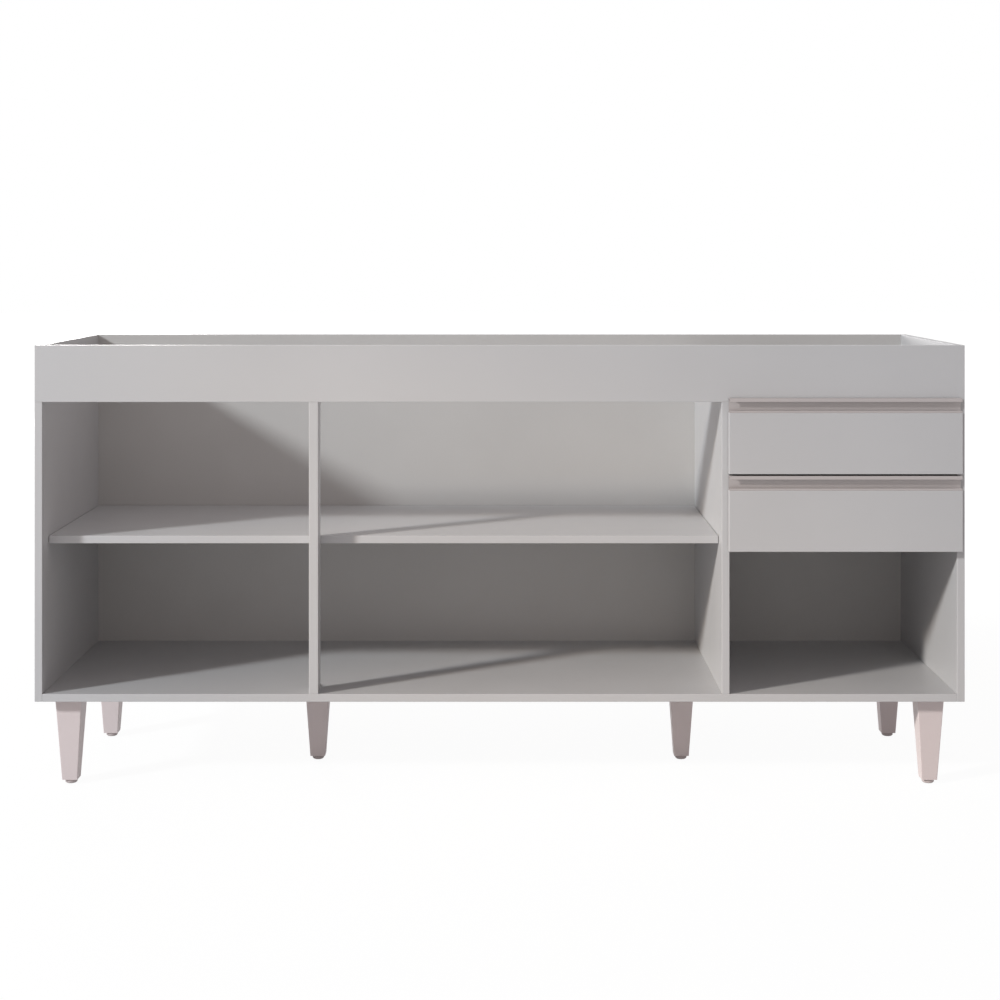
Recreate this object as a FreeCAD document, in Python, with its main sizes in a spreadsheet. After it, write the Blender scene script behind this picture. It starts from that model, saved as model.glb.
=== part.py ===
import FreeCAD, Part
import math
import os
import re

import Sketcher

# Sink base cabinet: X to the right, front towards -Y, Z up, millimetres.
# The origin is on the floor, in the middle of the width and of the overall depth.

Vector = FreeCAD.Vector
SIDES = (-1, 1)
SIDE_NAMES = {-1: "left", 1: "right"}
DRAWERS = ("upper", "lower")
FULL_TURN = 360

# A sketch numbers the points of a line or circle in this order, and its own origin by a pair.
POINT_ROLES = ("edge", "start", "end", "centre")
ORIGIN_POINT = (-1, 1)
START_GUESS = 1.0

# Driving sizes. Each one can be set by itself.
SIZES = {
    # carcass
    "cabinet_width": 1800,
    "cabinet_depth": 500,
    "carcass_height": 690,
    "board": 15,
    "edge_round": 1,
    "cut_margin": 1,
    "apron_height": 110,
    "left_bay": 516,
    "post_width": 18,
    "post_depth": 45,
    "post_drop": 40,
    "drawer_bay": 440,
    "divider_drop": 60,
    "shelf_clear": 284,
    "shelf_setback": 48,
    "shelf_gap": 1,
    "back_sheet": 3,
    "back_inset": 15,
    "back_groove": 6,
    "groove_fit": 0.2,
    "rear_rail_height": 90,
    "wall_hole_radius": 4,
    "wall_hole_drop": 45,
    "wall_hole_inset": 200,
    # legs and levelling feet
    "leg_length": 162,
    "leg_top": 51.5,
    "leg_tip": 30,
    "leg_wall": 2.5,
    "leg_cap": 6,
    "leg_plug": 26,
    "leg_round": 1.2,
    "leg_side_inset": 59,
    "rear_leg_side_inset": 64,
    "leg_front_inset": 53,
    "leg_rear_inset": 102,
    "mid_leg_offset": 373,
    "mid_leg_inset": 221,
    "foot_height": 8,
    "foot_radius": 11.7,
    "foot_bevel": 2,
    "stem_radius": 4,
    "stem_length": 22,
    "thread_fit": 0.08,
    # drawer fronts and pulls
    "front_thickness": 15,
    "front_gap": 3,
    "front_overlay": 3,
    "front_reveal": 8,
    "front_height": 118,
    "front_spacing": 3.5,
    "handle_overlap": 8.5,
    "handle_height": 28,
    "handle_tail": 1,
    "handle_wall": 1.5,
    "handle_lip": 7,
    "handle_toe": 4,
    "handle_short": 1,
    "handle_round": 0.6,
    "handle_screw_near": 60,
    # drawer boxes
    "side_clearance": 12.5,
    "drawer_side": 12,
    "box_rim_drop": 4,
    "box_lift": 14,
    "box_rear_gap": 35,
    "drawer_sheet": 3,
    "sheet_lift": 8,
    "drawer_groove": 4,
    "box_screw_low": 45,
    "box_screw_high": 80,
    "box_screw_inset": 70,
    # roller slides
    "rail_sheet": 1.2,
    "rail_setback": 3,
    "rail_drop": 2,
    "rail_screw_near": 60,
    "channel_gap": 1.3,
    "flange_gap": 0.8,
    "flange_start": 2.5,
    "roller_radius": 8,
    "roller_width": 6.3,
    "roller_bevel": 0.8,
    "roller_gap": 0.3,
    "roller_side_gap": 0.4,
    "roller_inset": 16,
    "axle_radius": 2.5,
    "axle_fit": 0.06,
    "axle_end_gap": 0.1,
    "axle_head_radius": 4,
    "axle_head": 0.6,
    # fasteners
    "hole_fit": 0.05,
    "sheet_hole_fit": 0.15,
    "dowel_radius": 4,
    "dowel_length": 30,
    "dowel_bite": 10,
    "dowel_front_inset": 60,
    "dowel_rear_inset": 100,
    "apron_dowel_rise": 15,
    "rear_dowel_drop": 22,
    "cam_radius": 7.4,
    "cam_depth": 12,
    "cam_setback": 24,
    "cam_gap": 0.1,
    "cam_bolt_radius": 3,
    "cam_bite": 10,
    "cam_front_inset": 120,
    "cam_rear_inset": 50,
    "rear_cam_drop": 65,
    "screw_radius": 1.75,
    "screw_tip": 3,
    "screw_head_radius": 3.3,
    "screw_head": 1.6,
    "screw_dome": 0.7,
    "drive_radius": 1.2,
    "drive_depth": 0.9,
    "short_screw_stop": 1,
    "long_screw_stop": 2,
    "back_screw_inset": 80,
    "pin_radius": 2.5,
    "pin_length": 17,
    "pin_bite": 9,
    "pin_front_inset": 40,
    "pin_rear_inset": 60,
    "bolt_radius": 4,
    "bolt_length": 40,
    "bolt_bite": 12,
    "bracket_leg": 30,
    "bracket_width": 16,
    "bracket_sheet": 2,
    "bracket_screw": 21,
    "bracket_rise": 35,
}

# Places and sizes that follow from the driving sizes.
PLACES = {
    "half_width": "cabinet_width / 2",
    "inner_x": "half_width - board",
    "front_y": "(front_gap + front_thickness - cabinet_depth) / 2",
    "rear_y": "front_y + cabinet_depth",
    "back_y": "rear_y - back_inset - back_sheet",
    "base_z": "foot_height + leg_length",
    "floor_z": "base_z + board",
    "top_z": "base_z + carcass_height",
    "apron_z": "top_z - apron_height",
    "apron_back_y": "front_y + board",
    "post_x": "left_bay - inner_x",
    "bay_x": "inner_x - drawer_bay",
    "divider_x": "bay_x - board",
    "shelf_z": "floor_z + shelf_clear",
    "shelf_y": "front_y + shelf_setback",
    "leg_side_x": "half_width - leg_side_inset",
    "rear_leg_x": "half_width - rear_leg_side_inset",
    "leg_front_y": "front_y + leg_front_inset",
    "leg_rear_y": "rear_y - leg_rear_inset",
    "leg_mid_y": "front_y + mid_leg_inset",
    "hang_y": "front_y - front_gap",
    "face_y": "hang_y - front_thickness",
    "front_width": "drawer_bay + board - front_reveal + front_overlay",
    "front_x": "half_width - front_reveal - front_width",
    "unit_height": "handle_height + front_height",
    "upper_z": "apron_z + handle_overlap - unit_height",
    "lower_z": "upper_z - unit_height - front_spacing",
    "handle_depth": "front_thickness + handle_tail",
    "handle_length": "front_width - 2 * handle_short",
    "handle_screw_mid": "handle_length / 2",
    "handle_screw_far": "handle_length - handle_screw_near",
    "box_x": "bay_x + side_clearance",
    "box_far_x": "inner_x - side_clearance",
    "box_height": "front_height - box_lift - box_rim_drop",
    "box_back_y": "back_y - box_rear_gap",
    "rail_y": "front_y + rail_setback",
    "rail_length": "box_back_y - hang_y",
    "rail_screw_mid": "rail_length / 2",
    "rail_screw_far": "rail_length - rail_screw_near",
    "channel_reach": "side_clearance - rail_sheet - channel_gap",
    "channel_height": "2 * roller_radius + 2 * roller_gap",
    "flange_z": "channel_height + rail_sheet + flange_gap",
    "front_roller_z": "flange_z - roller_gap - roller_radius",
    "rear_roller_z": "roller_gap + roller_radius",
    "axle_length": "roller_side_gap + roller_width + axle_end_gap",
    "short_screw": "board - short_screw_stop",
    "long_screw": "drawer_side + front_thickness - long_screw_stop",
}

RAIL_SCREWS = ("rail_screw_near", "rail_screw_mid", "rail_screw_far")
HANDLE_SCREWS = ("handle_screw_near", "handle_screw_mid", "handle_screw_far")

# Each leg: side of the cabinet, distance from the middle, place in the depth.
LEGS = {
    "front_left": (-1, "leg_side_x", "leg_front_y"),
    "front_right": (1, "leg_side_x", "leg_front_y"),
    "mid_left": (-1, "mid_leg_offset", "leg_mid_y"),
    "mid_right": (1, "mid_leg_offset", "leg_mid_y"),
    "rear_left": (-1, "rear_leg_x", "leg_rear_y"),
    "rear_right": (1, "rear_leg_x", "leg_rear_y"),
}

doc = FreeCAD.newDocument("SinkBaseCabinet")
sheet = doc.addObject("Spreadsheet::Sheet", "Sizes")
blanks = {}
finished = {}


# Spreadsheet


def fill_sheet():
    """Write every driving size and every derived place as a named cell."""
    cells = [(name, str(value)) for name, value in SIZES.items()]
    cells += [(name, "=" + formula) for name, formula in PLACES.items()]
    for row, (name, content) in enumerate(cells, start=1):
        sheet.set(f"A{row}", name)
        sheet.set(f"B{row}", content)
        sheet.setAlias(f"B{row}", name)
    doc.recompute()


def size(name):
    """The value of a cell as a plain number."""
    return float(sheet.get(name))


def in_sheet(formula):
    """A formula whose names point at the cells of the sheet."""
    return re.sub(r"[a-z][a-z_]+", r"Sizes.\g<0>", str(formula))


def bind(item, path, formula):
    item.setExpression(path, in_sheet(formula))


def place(item, x, y, z):
    for axis, formula in zip("xyz", (x, y, z)):
        bind(item, "Placement.Base." + axis, formula)


# Bodies, sketches and features


def body_at(label, x=0, y=0, z=0):
    body = doc.addObject("PartDesign::Body", label)
    body.Label = label
    place(body, x, y, z)
    return body


def sketch_on(body, name, role, lift):
    """An empty sketch on one of the body's own planes, lifted along the plane's normal."""
    sketch = body.newObject("Sketcher::SketchObject", name)
    plane = next(item for item in body.Origin.OriginFeatures if item.Role == role)
    sketch.AttachmentSupport = [(plane, "")]
    sketch.MapMode = "FlatFace"
    bind(sketch, "AttachmentOffset.Base.z", lift)
    return sketch


def tie_point(sketch, element, role, u, v):
    """Hold a point of the sketch at formulas u and v from the sketch's origin."""
    point = POINT_ROLES.index(role)
    for kind, formula in (("DistanceX", u), ("DistanceY", v)):
        distance = Sketcher.Constraint(kind, *ORIGIN_POINT, element, point, START_GUESS)
        number = sketch.addConstraint(distance)
        bind(sketch, f"Constraints[{number}]", formula)


def outline(body, name, role, points, lift=0):
    """A closed outline of straight lines through points given as formulas."""
    sketch = sketch_on(body, name, role, lift)
    count = len(points)
    turn = 2 * math.pi / count
    corners = [Vector(math.cos(turn * number), math.sin(turn * number), 0) for number in range(count)]
    for number in range(count):
        sketch.addGeometry(Part.LineSegment(corners[number], corners[(number + 1) % count]), False)
    start = POINT_ROLES.index("start")
    end = POINT_ROLES.index("end")
    for number in range(count):
        following = (number + 1) % count
        sketch.addConstraint(Sketcher.Constraint("Coincident", number, end, following, start))
    for number, (u, v) in enumerate(points):
        tie_point(sketch, number, "start", u, v)
    return sketch


def circles(body, name, role, centres, radius, lift=0):
    """Circles of one radius, with centres given as formulas."""
    sketch = sketch_on(body, name, role, lift)
    for number, (u, v) in enumerate(centres):
        sketch.addGeometry(Part.Circle(Vector(number, number, 0), Vector(0, 0, 1), START_GUESS), False)
        tie_point(sketch, number, "centre", u, v)
        ring = sketch.addConstraint(Sketcher.Constraint("Radius", number, START_GUESS))
        bind(sketch, f"Constraints[{ring}]", radius)
    return sketch


def extrude(body, kind, sketch, length, reverse=False):
    """A Pad or Pocket of a sketch."""
    feature = body.newObject("PartDesign::" + kind, sketch.Name + "_" + kind.lower())
    feature.Profile = sketch
    bind(feature, "Length", length)
    feature.Reversed = reverse
    return feature


def revolve(body, sketch, axis):
    feature = body.newObject("PartDesign::Revolution", sketch.Name + "_turned")
    feature.Profile = sketch
    feature.ReferenceAxis = (sketch, [axis])
    feature.Angle = FULL_TURN
    return feature


def loft(body, kind, name, first, last):
    feature = body.newObject("PartDesign::" + kind, name)
    feature.Profile = first
    feature.Sections = [last]
    feature.Ruled = True
    return feature


def round_edges(body, base, wanted, radius):
    """Round those edges of a feature for which wanted(edge) holds."""
    doc.recompute()
    names = [f"Edge{number}" for number, edge in enumerate(base.Shape.Edges, start=1) if wanted(edge)]
    feature = body.newObject("PartDesign::Fillet", base.Name + "_rounded")
    feature.Base = (base, names)
    bind(feature, "Radius", radius)
    return feature


# Boards


def block(body, kind, name, x, y, z):
    """A box feature between pairs of formulas along X, Y and Z."""
    feature = body.newObject("PartDesign::" + kind, name)
    for path, (low, high) in zip(("Length", "Width", "Height"), (x, y, z)):
        bind(feature, path, f"({high}) - ({low})")
    place(feature, x[0], y[0], z[0])
    return feature


def board(label, x, y, z, notches=(), soft_edges=True):
    """A board with softened edges, its grooves and notches cut, not yet drilled."""
    body = body_at(label + "_blank")
    blank = block(body, "AdditiveBox", label + "_sawn", x, y, z)
    if soft_edges:
        softened = body.newObject("PartDesign::Fillet", label + "_softened")
        softened.Base = (blank, [""])
        softened.UseAllEdges = True
        bind(softened, "Radius", "edge_round")
    for number, notch in enumerate(notches):
        block(body, "SubtractiveBox", f"{label}_notch_{number}", *notch)
    blanks[label] = body


def drill(labels, holes):
    """Cut from each named board the holes that reach it."""
    for label in labels:
        blank = blanks[label]
        drilling = doc.addObject("Part::Feature", label + "_drilling")
        near = [hole for hole in holes if hole.BoundBox.intersect(blank.Shape.BoundBox)]
        drilling.Shape = Part.makeCompound(near)
        drilled = doc.addObject("Part::Cut", label)
        drilled.Label = label
        drilled.Base = blank
        drilled.Tool = drilling
        finished[label] = drilled


def group(label, solids):
    """Like pieces that share one node, each a solid of its own."""
    feature = doc.addObject("Part::Feature", label)
    feature.Label = label
    feature.Shape = Part.makeCompound(solids)
    feature.Placement = FreeCAD.Placement()
    finished[label] = feature


# Fasteners: each function gives the solids and the hole that takes them


def dowel(joint, axis):
    """A dowel across a joint plane, with its short end along the axis."""
    start = joint - axis * (size("dowel_length") - size("dowel_bite"))
    peg = Part.makeCylinder(size("dowel_radius"), size("dowel_length"), start, axis)
    radius = size("dowel_radius") + size("hole_fit")
    hole = Part.makeCylinder(radius, size("dowel_length") + 2 * size("cut_margin"),
                             start - axis * size("cut_margin"), axis)
    return [peg], hole


def cam_fitting(joint, axis, outward, half_board):
    """A cam disc in a board's face and the bolt that it draws out of the next board's joint face."""
    centre = joint - axis * size("cam_setback")
    face = centre + outward * half_board
    bolt_start = centre + axis * (size("cam_radius") + size("cam_gap"))
    bolt_length = size("cam_setback") - size("cam_radius") - size("cam_gap") + size("cam_bite")
    disc = Part.makeCylinder(size("cam_radius"), size("cam_depth"), face, outward * -1)
    bolt = Part.makeCylinder(size("cam_bolt_radius"), bolt_length, bolt_start, axis)
    fit = size("hole_fit")
    mouth = face + outward * size("cut_margin")
    pocket = Part.makeCylinder(size("cam_radius") + fit, size("cam_depth") + size("cut_margin") + fit,
                               mouth, outward * -1)
    bore = Part.makeCylinder(size("cam_bolt_radius") + fit, size("cam_setback") + size("cam_bite") + fit,
                             centre, axis)
    return [disc, bolt], pocket.fuse(bore)


def wood_screw(length, seat, axis):
    """A screw whose head seats on a surface and whose shank follows the axis into the wood."""
    head = -size("screw_head")
    socket = head + size("drive_depth")
    profile = [
        (0, socket),
        (size("drive_radius"), socket),
        (size("drive_radius"), head),
        (size("screw_head_radius") - size("screw_dome"), head),
        (size("screw_head_radius"), head + size("screw_dome")),
        (size("screw_head_radius"), 0),
        (size("screw_radius"), 0),
        (size("screw_radius"), length - size("screw_tip")),
        (0, length),
    ]
    wire = Part.makePolygon([Vector(radius, 0, z) for radius, z in profile + profile[:1]])
    screw = Part.Face(wire).revolve(Vector(), Vector(0, 0, 1), FULL_TURN)
    screw.Placement = FreeCAD.Placement(seat, FreeCAD.Rotation(Vector(0, 0, 1), axis))
    hole = Part.makeCylinder(size("screw_radius") + size("hole_fit"), length + size("cut_margin"),
                             seat - axis * (size("cut_margin") / 2), axis)
    return [screw], hole


def shelf_pin(wall, axis):
    start = wall - axis * size("pin_bite")
    pin = Part.makeCylinder(size("pin_radius"), size("pin_length"), start, axis)
    hole = Part.makeCylinder(size("pin_radius") + size("hole_fit"), size("pin_bite") + size("cut_margin"),
                             start, axis)
    return [pin], hole


def hanger_bolt(x, y):
    """A bolt that stands in the bottom panel and hangs into the top of a leg."""
    start = Vector(x, y, size("base_z") + size("bolt_bite") - size("bolt_length"))
    up = Vector(0, 0, 1)
    bolt = Part.makeCylinder(size("bolt_radius"), size("bolt_length"), start, up)
    hole = Part.makeCylinder(size("bolt_radius") + size("hole_fit"), size("bolt_length") + size("hole_fit"),
                             start, up)
    return [bolt], hole


def angle_bracket(corner, along, across):
    """An angle with one leg along each of two directions out of a corner, and its two screws."""
    width = along.cross(across)
    low = corner - width * (size("bracket_width") / 2)
    turn = FreeCAD.Rotation(along, across, width, "XYZ")
    reach = size("bracket_leg")
    thick = size("bracket_sheet")
    flat = Part.makeBox(reach, thick, size("bracket_width"))
    upright = Part.makeBox(thick, reach, size("bracket_width"))
    bracket = flat.fuse(upright).removeSplitter()
    bracket.Placement = FreeCAD.Placement(low, turn)
    seats = [
        (corner + along * size("bracket_screw") + across * thick, across * -1),
        (corner + across * size("bracket_screw") + along * thick, along * -1),
    ]
    for seat, axis in seats:
        radius = size("screw_radius") + size("sheet_hole_fit")
        bracket = bracket.cut(Part.makeCylinder(radius, thick, seat, axis))
    return bracket, seats


def collect(pairs):
    """Split fasteners into one list of solids and one list of holes."""
    solids = [solid for pieces, _ in pairs for solid in pieces]
    holes = [hole for _, hole in pairs]
    return solids, holes


# Carcass


def apron_notch(x_low, x_high):
    """The step that lets the apron lie flush in front of an upright board."""
    return (
        (f"{x_low} - cut_margin", f"{x_high} + cut_margin"),
        ("front_y - cut_margin", "apron_back_y"),
        ("apron_z", "top_z + cut_margin"),
    )


def span(side, near, far):
    """Two distances from the middle on one side of it, as a pair along X with the lower one first."""
    if side > 0:
        return near, far
    return f"-({far})", f"-({near})"


def side_panel(side):
    """A side with a step for the apron and a groove for the back sheet."""
    thickness = span(side, "inner_x", "half_width")
    groove = (
        span(side, "inner_x - cut_margin", "inner_x + back_groove"),
        ("back_y", "back_y + back_sheet + groove_fit"),
        ("floor_z - back_groove", "top_z + cut_margin"),
    )
    board(f"side_panel_{SIDE_NAMES[side]}", thickness, ("front_y", "rear_y"), ("base_z", "top_z"),
          notches=[apron_notch(*thickness), groove])


def carcass_boards():
    for side in SIDES:
        side_panel(side)
    groove = (
        ("-inner_x - cut_margin", "inner_x + cut_margin"),
        ("back_y", "back_y + back_sheet + groove_fit"),
        ("floor_z - back_groove", "floor_z + cut_margin"),
    )
    board("bottom_panel", ("-inner_x", "inner_x"), ("front_y", "rear_y"), ("base_z", "floor_z"),
          notches=[groove])
    board("divider_panel", ("divider_x", "bay_x"), ("front_y", "back_y"),
          ("floor_z", "top_z - divider_drop"), notches=[apron_notch("divider_x", "bay_x")])
    board("front_post", ("post_x", "post_x + post_width"), ("front_y", "front_y + post_depth"),
          ("floor_z", "top_z - post_drop"), notches=[apron_notch("post_x", "post_x + post_width")])
    board("front_apron", ("-half_width", "half_width"), ("front_y", "apron_back_y"), ("apron_z", "top_z"))
    board("rear_top_rail", ("-inner_x", "inner_x"), ("rear_y - back_inset", "rear_y"),
          ("top_z - rear_rail_height", "top_z"))
    board("back_panel",
          ("-inner_x - back_groove + groove_fit", "inner_x + back_groove - groove_fit"),
          ("back_y", "back_y + back_sheet"), ("floor_z - back_groove", "top_z"), soft_edges=False)
    board("shelf", ("shelf_gap - inner_x", "divider_x - shelf_gap"), ("shelf_y", "back_y - shelf_gap"),
          ("shelf_z", "shelf_z + board"))


def carcass_dowels():
    """Dowels between bottom, sides, divider, post, apron and rear rail."""
    joints = []
    forward = Vector(0, -1, 0)
    down = Vector(0, 0, -1)
    front_dowel_y = size("front_y") + size("dowel_front_inset")
    for side in SIDES:
        out = Vector(side, 0, 0)
        inner = side * size("inner_x")
        edge = side * (size("half_width") - size("board") / 2)
        for y in (front_dowel_y, size("rear_y") - size("dowel_rear_inset")):
            joints.append((Vector(inner, y, size("base_z") + size("board") / 2), out))
        rail_y = size("rear_y") - size("back_inset") / 2
        joints.append((Vector(inner, rail_y, size("top_z") - size("rear_dowel_drop")), out))
        for rise in (size("apron_dowel_rise"), size("apron_height") - size("apron_dowel_rise")):
            joints.append((Vector(edge, size("apron_back_y"), size("apron_z") + rise), forward))
    divider_mid = size("divider_x") + size("board") / 2
    post_mid = size("post_x") + size("post_width") / 2
    for y in (front_dowel_y, size("back_y") - size("dowel_rear_inset")):
        joints.append((Vector(divider_mid, y, size("floor_z")), down))
    joints.append((Vector(post_mid, size("front_y") + size("post_depth") / 2, size("floor_z")), down))
    for x in (divider_mid, post_mid):
        height = size("apron_z") + size("apron_dowel_rise")
        joints.append((Vector(x, size("apron_back_y"), height), forward))
    return [dowel(*joint) for joint in joints]


def carcass_cams():
    """Cam fittings under the bottom panel, behind the rear rail and in the divider's drawer side."""
    half = size("board") / 2
    front_cam_y = size("front_y") + size("cam_front_inset")
    cams = []
    for side in SIDES:
        out = Vector(side, 0, 0)
        inner = side * size("inner_x")
        for y in (front_cam_y, size("rear_y") - size("cam_rear_inset")):
            cams.append(cam_fitting(Vector(inner, y, size("base_z") + half), out, Vector(0, 0, -1), half))
        half_rail = size("back_inset") / 2
        joint = Vector(inner, size("rear_y") - half_rail, size("top_z") - size("rear_cam_drop"))
        cams.append(cam_fitting(joint, out, Vector(0, 1, 0), half_rail))
    for y in (front_cam_y, size("back_y") - size("cam_rear_inset")):
        joint = Vector(size("divider_x") + half, y, size("floor_z"))
        cams.append(cam_fitting(joint, Vector(0, 0, -1), Vector(1, 0, 0), half))
    return cams


def carcass_pins():
    """Pins under the shelf in the left side and in the divider."""
    height = size("shelf_z") - size("pin_radius")
    pins = []
    for y in (size("shelf_y") + size("pin_front_inset"), size("back_y") - size("pin_rear_inset")):
        pins.append(shelf_pin(Vector(-size("inner_x"), y, height), Vector(1, 0, 0)))
        pins.append(shelf_pin(Vector(size("divider_x"), y, height), Vector(-1, 0, 0)))
    return pins


def carcass_brackets():
    """Angles behind the apron, at the foot of the post and between post and shelf."""
    back = Vector(0, 1, 0)
    right = Vector(1, 0, 0)
    up = Vector(0, 0, 1)
    post_far = size("post_x") + size("post_width")
    post_mid = size("post_x") + size("post_width") / 2
    post_back = size("front_y") + size("post_depth")
    apron_back = size("apron_back_y")
    height = size("apron_z") + size("bracket_rise")
    corners = [
        (Vector(-size("inner_x"), apron_back, height), right, back),
        (Vector(post_far, apron_back, height), right, back),
        (Vector(size("divider_x"), apron_back, height), right * -1, back),
        (Vector(size("inner_x"), apron_back, height), right * -1, back),
        (Vector(post_mid, post_back, size("floor_z")), up, back),
        (Vector(post_mid, post_back, size("shelf_z")), up * -1, back),
    ]
    return [angle_bracket(*corner) for corner in corners]


def carcass_screws(brackets):
    """Short screws in brackets and cabinet rails, and through the back sheet into the divider."""
    seats = [seat for _, pair in brackets for seat in pair]
    for drawer in DRAWERS:
        height = channel_floor(drawer) + size("channel_height") / 2
        for place_name in RAIL_SCREWS:
            y = size("rail_y") + size(place_name)
            seats.append((Vector(size("bay_x") + size("rail_sheet"), y, height), Vector(-1, 0, 0)))
            seats.append((Vector(size("inner_x") - size("rail_sheet"), y, height), Vector(1, 0, 0)))
    divider_mid = size("divider_x") + size("board") / 2
    low = size("floor_z") + size("back_screw_inset")
    high = size("top_z") - size("divider_drop") - size("back_screw_inset")
    for z in (low, (low + high) / 2, high):
        seats.append((Vector(divider_mid, size("back_y") + size("back_sheet"), z), Vector(0, -1, 0)))
    return [wood_screw(size("short_screw"), *seat) for seat in seats]


def wall_holes():
    """Holes for wall screws through the back sheet and the rear rail."""
    start_y = size("back_y") - size("cut_margin")
    length = size("rear_y") - start_y + size("cut_margin")
    height = size("top_z") - size("wall_hole_drop")
    reach = size("half_width") - size("wall_hole_inset")
    return [Part.makeCylinder(size("wall_hole_radius"), length, Vector(side * reach, start_y, height),
                              Vector(0, 1, 0)) for side in SIDES]


def carcass():
    carcass_boards()
    labels = list(blanks)
    doc.recompute()
    brackets = carcass_brackets()
    bolts = [hanger_bolt(side * size(x), size(y)) for side, x, y in LEGS.values()]
    kinds = {
        "dowels": carcass_dowels(),
        "cam_fittings": carcass_cams(),
        "shelf_pins": carcass_pins(),
        "wood_screws": carcass_screws(brackets),
        "leg_bolts": bolts,
    }
    holes = wall_holes()
    for label, pairs in kinds.items():
        solids, taken = collect(pairs)
        group(label, solids)
        holes += taken
    group("corner_brackets", [bracket for bracket, _ in brackets])
    drill(labels, holes)


# Legs


def square(body, name, half, lift):
    """A square outline centred on the body's axis."""
    corners = [(f"-({half})", f"-({half})"), (half, f"-({half})"), (half, half), (f"-({half})", half)]
    return outline(body, name, "XY_Plane", corners, lift)


def leg(name, x, y):
    """A hollow tapered leg, with a bore in its cap for the bolt and one in its plug for the foot."""
    body = body_at("leg_" + name, x, y, "base_z")
    top = square(body, name + "_top", "leg_top / 2", 0)
    tip = square(body, name + "_tip", "leg_tip / 2", "-leg_length")
    shell = loft(body, "AdditiveLoft", name + "_shell", top, tip)
    round_edges(body, shell, lambda edge: edge.BoundBox.ZLength > size("leg_length") / 2, "leg_round")
    taper = "(leg_top - leg_tip) / leg_length"
    half_top = f"(leg_top - {taper} * leg_cap) / 2 - leg_wall"
    half_tip = f"(leg_tip + {taper} * leg_plug) / 2 - leg_wall"
    inner_top = square(body, name + "_inner_top", half_top, "-leg_cap")
    inner_tip = square(body, name + "_inner_tip", half_tip, "leg_plug - leg_length")
    loft(body, "SubtractiveLoft", name + "_hollow", inner_top, inner_tip)
    bolt_bore = circles(body, name + "_bolt_bore", "XY_Plane", [(0, 0)], "bolt_radius + hole_fit")
    extrude(body, "Pocket", bolt_bore, "leg_cap + cut_margin")
    stem_bore = circles(body, name + "_stem_bore", "XY_Plane", [(0, 0)], "stem_radius + thread_fit",
                        "-leg_length")
    extrude(body, "Pocket", stem_bore, "stem_length + cut_margin", reverse=True)
    finished["leg_" + name] = body


def levelling_foot(name, x, y):
    """A round pad on the floor with a stem that turns up into the leg."""
    body = body_at("foot_" + name, x, y, 0)
    points = [
        (0, 0),
        ("foot_radius - foot_bevel", 0),
        ("foot_radius", "foot_bevel"),
        ("foot_radius", "foot_height"),
        ("stem_radius", "foot_height"),
        ("stem_radius", "foot_height + stem_length"),
        (0, "foot_height + stem_length"),
    ]
    revolve(body, outline(body, name + "_foot_half", "XZ_Plane", points), "V_Axis")
    finished["foot_" + name] = body


def legs():
    for name, (side, x, y) in LEGS.items():
        leg(name, f"{side} * {x}", y)
        levelling_foot(name, f"{side} * {x}", y)


# Roller slides


def channel_floor(drawer):
    """Height of the floor of a drawer's cabinet rails."""
    return size(drawer + "_z") + size("box_lift") + size("rail_drop")


def rail_body(label, drawer, side, y):
    """A rail's body, with its origin on the panel face, at the rail's front end and the channel's floor."""
    face = "inner_x" if side > 0 else "bay_x"
    return body_at(label, face, y, f"{drawer}_z + box_lift + rail_drop")


def axle(body, label, y, z, start, inward):
    """A roller's axle with its head, standing out of a rail's web along X."""
    reverse = inward < 0
    shank = circles(body, label + "_axle", "YZ_Plane", [(y, z)], "axle_radius", start)
    extrude(body, "Pad", shank, "axle_length", reverse)
    head = circles(body, label + "_axle_head", "YZ_Plane", [(y, z)], "axle_head_radius",
                   f"{start} + {inward} * axle_length")
    extrude(body, "Pad", head, "axle_head", reverse)


def cabinet_rail(drawer, side):
    """A channel on the panel, open towards the drawer, with its roller's axle near the front."""
    label = f"{drawer}_cabinet_rail_{SIDE_NAMES[side]}"
    inward = -side
    body = rail_body(label, drawer, side, "rail_y")
    points = [
        (0, "-rail_sheet"),
        (f"{inward} * channel_reach", "-rail_sheet"),
        (f"{inward} * channel_reach", 0),
        (f"{inward} * rail_sheet", 0),
        (f"{inward} * rail_sheet", "channel_height"),
        (f"{inward} * channel_reach", "channel_height"),
        (f"{inward} * channel_reach", "channel_height + rail_sheet"),
        (0, "channel_height + rail_sheet"),
    ]
    extrude(body, "Pad", outline(body, label + "_section", "XZ_Plane", points), "rail_length", reverse=True)
    tip = f"{inward} * (channel_reach + cut_margin)"
    window = [
        (f"{inward} * rail_sheet", "-cut_margin"),
        (tip, "-cut_margin"),
        (tip, "2 * roller_inset"),
        (f"{inward} * rail_sheet", "2 * roller_inset"),
    ]
    roller_window = outline(body, label + "_window", "XY_Plane", window, "channel_height + rail_sheet")
    extrude(body, "Pocket", roller_window, "rail_sheet")
    centres = [(place_name, "channel_height / 2") for place_name in RAIL_SCREWS]
    far_face = "rail_sheet" if inward > 0 else 0
    holes = circles(body, label + "_holes", "YZ_Plane", centres, "screw_radius + sheet_hole_fit", far_face)
    extrude(body, "Pocket", holes, "rail_sheet")
    axle(body, label, "roller_inset", "front_roller_z", f"{inward} * rail_sheet", inward)
    finished[label] = body


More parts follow.
